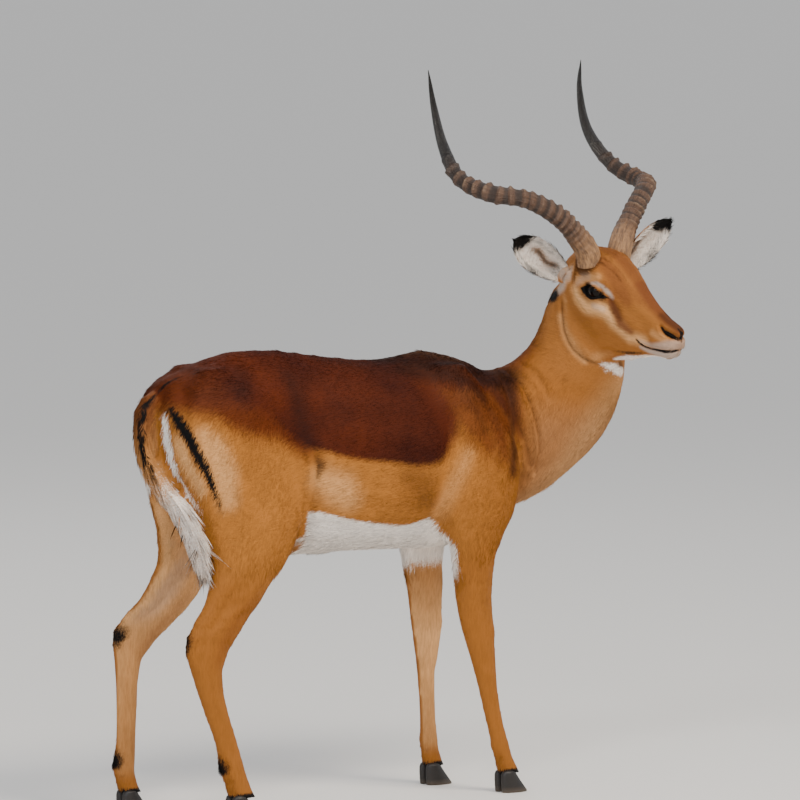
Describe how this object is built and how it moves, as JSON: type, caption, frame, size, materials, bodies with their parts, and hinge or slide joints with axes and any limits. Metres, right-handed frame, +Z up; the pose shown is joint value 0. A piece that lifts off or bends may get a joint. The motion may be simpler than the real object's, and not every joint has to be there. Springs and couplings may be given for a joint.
{
  "type": "impala antelope",
  "caption": "Still, life-size adult male impala standing on four feet with its head turned to its right and long lyre-shaped horns.",
  "frame": {"origin": "on the floor, below the middle of the animal's bounding box", "axes": "+X from the tail towards the chest, +Y to the animal's left, +Z up"},
  "size_m": [1.2144, 0.5042, 1.4159],
  "materials": {
    "saddle_coat": "short dark chestnut hair",
    "tan_coat": "short tan hair",
    "face_coat": "very short orange-brown hair",
    "ear_coat": "thin hair, white inside and brown outside",
    "tail_hair": "long hair, brown above and white below",
    "horn": "ridged horn, polished at the tip",
    "hoof": "worn dark horn",
    "eye": "wet and dark brown"
  },
  "bodies": {
    "root": {"trunk": "saddle_coat", "neck": "tan_coat", "head": "face_coat", "tail": "tail_hair", "leg_front_left": "tan_coat", "hoof_front_left_outer": "hoof", "hoof_front_left_inner": "hoof", "leg_front_right": "tan_coat", "hoof_front_right_outer": "hoof", "hoof_front_right_inner": "hoof", "leg_hind_left": "tan_coat", "hoof_hind_left_outer": "hoof", "hoof_hind_left_inner": "hoof", "leg_hind_right": "tan_coat", "hoof_hind_right_outer": "hoof", "hoof_hind_right_inner": "hoof", "ear_left": "ear_coat", "eye_left": "eye", "horn_left": "horn", "ear_right": "ear_coat", "eye_right": "eye", "horn_right": "horn"}
  },
  "joints": []
}
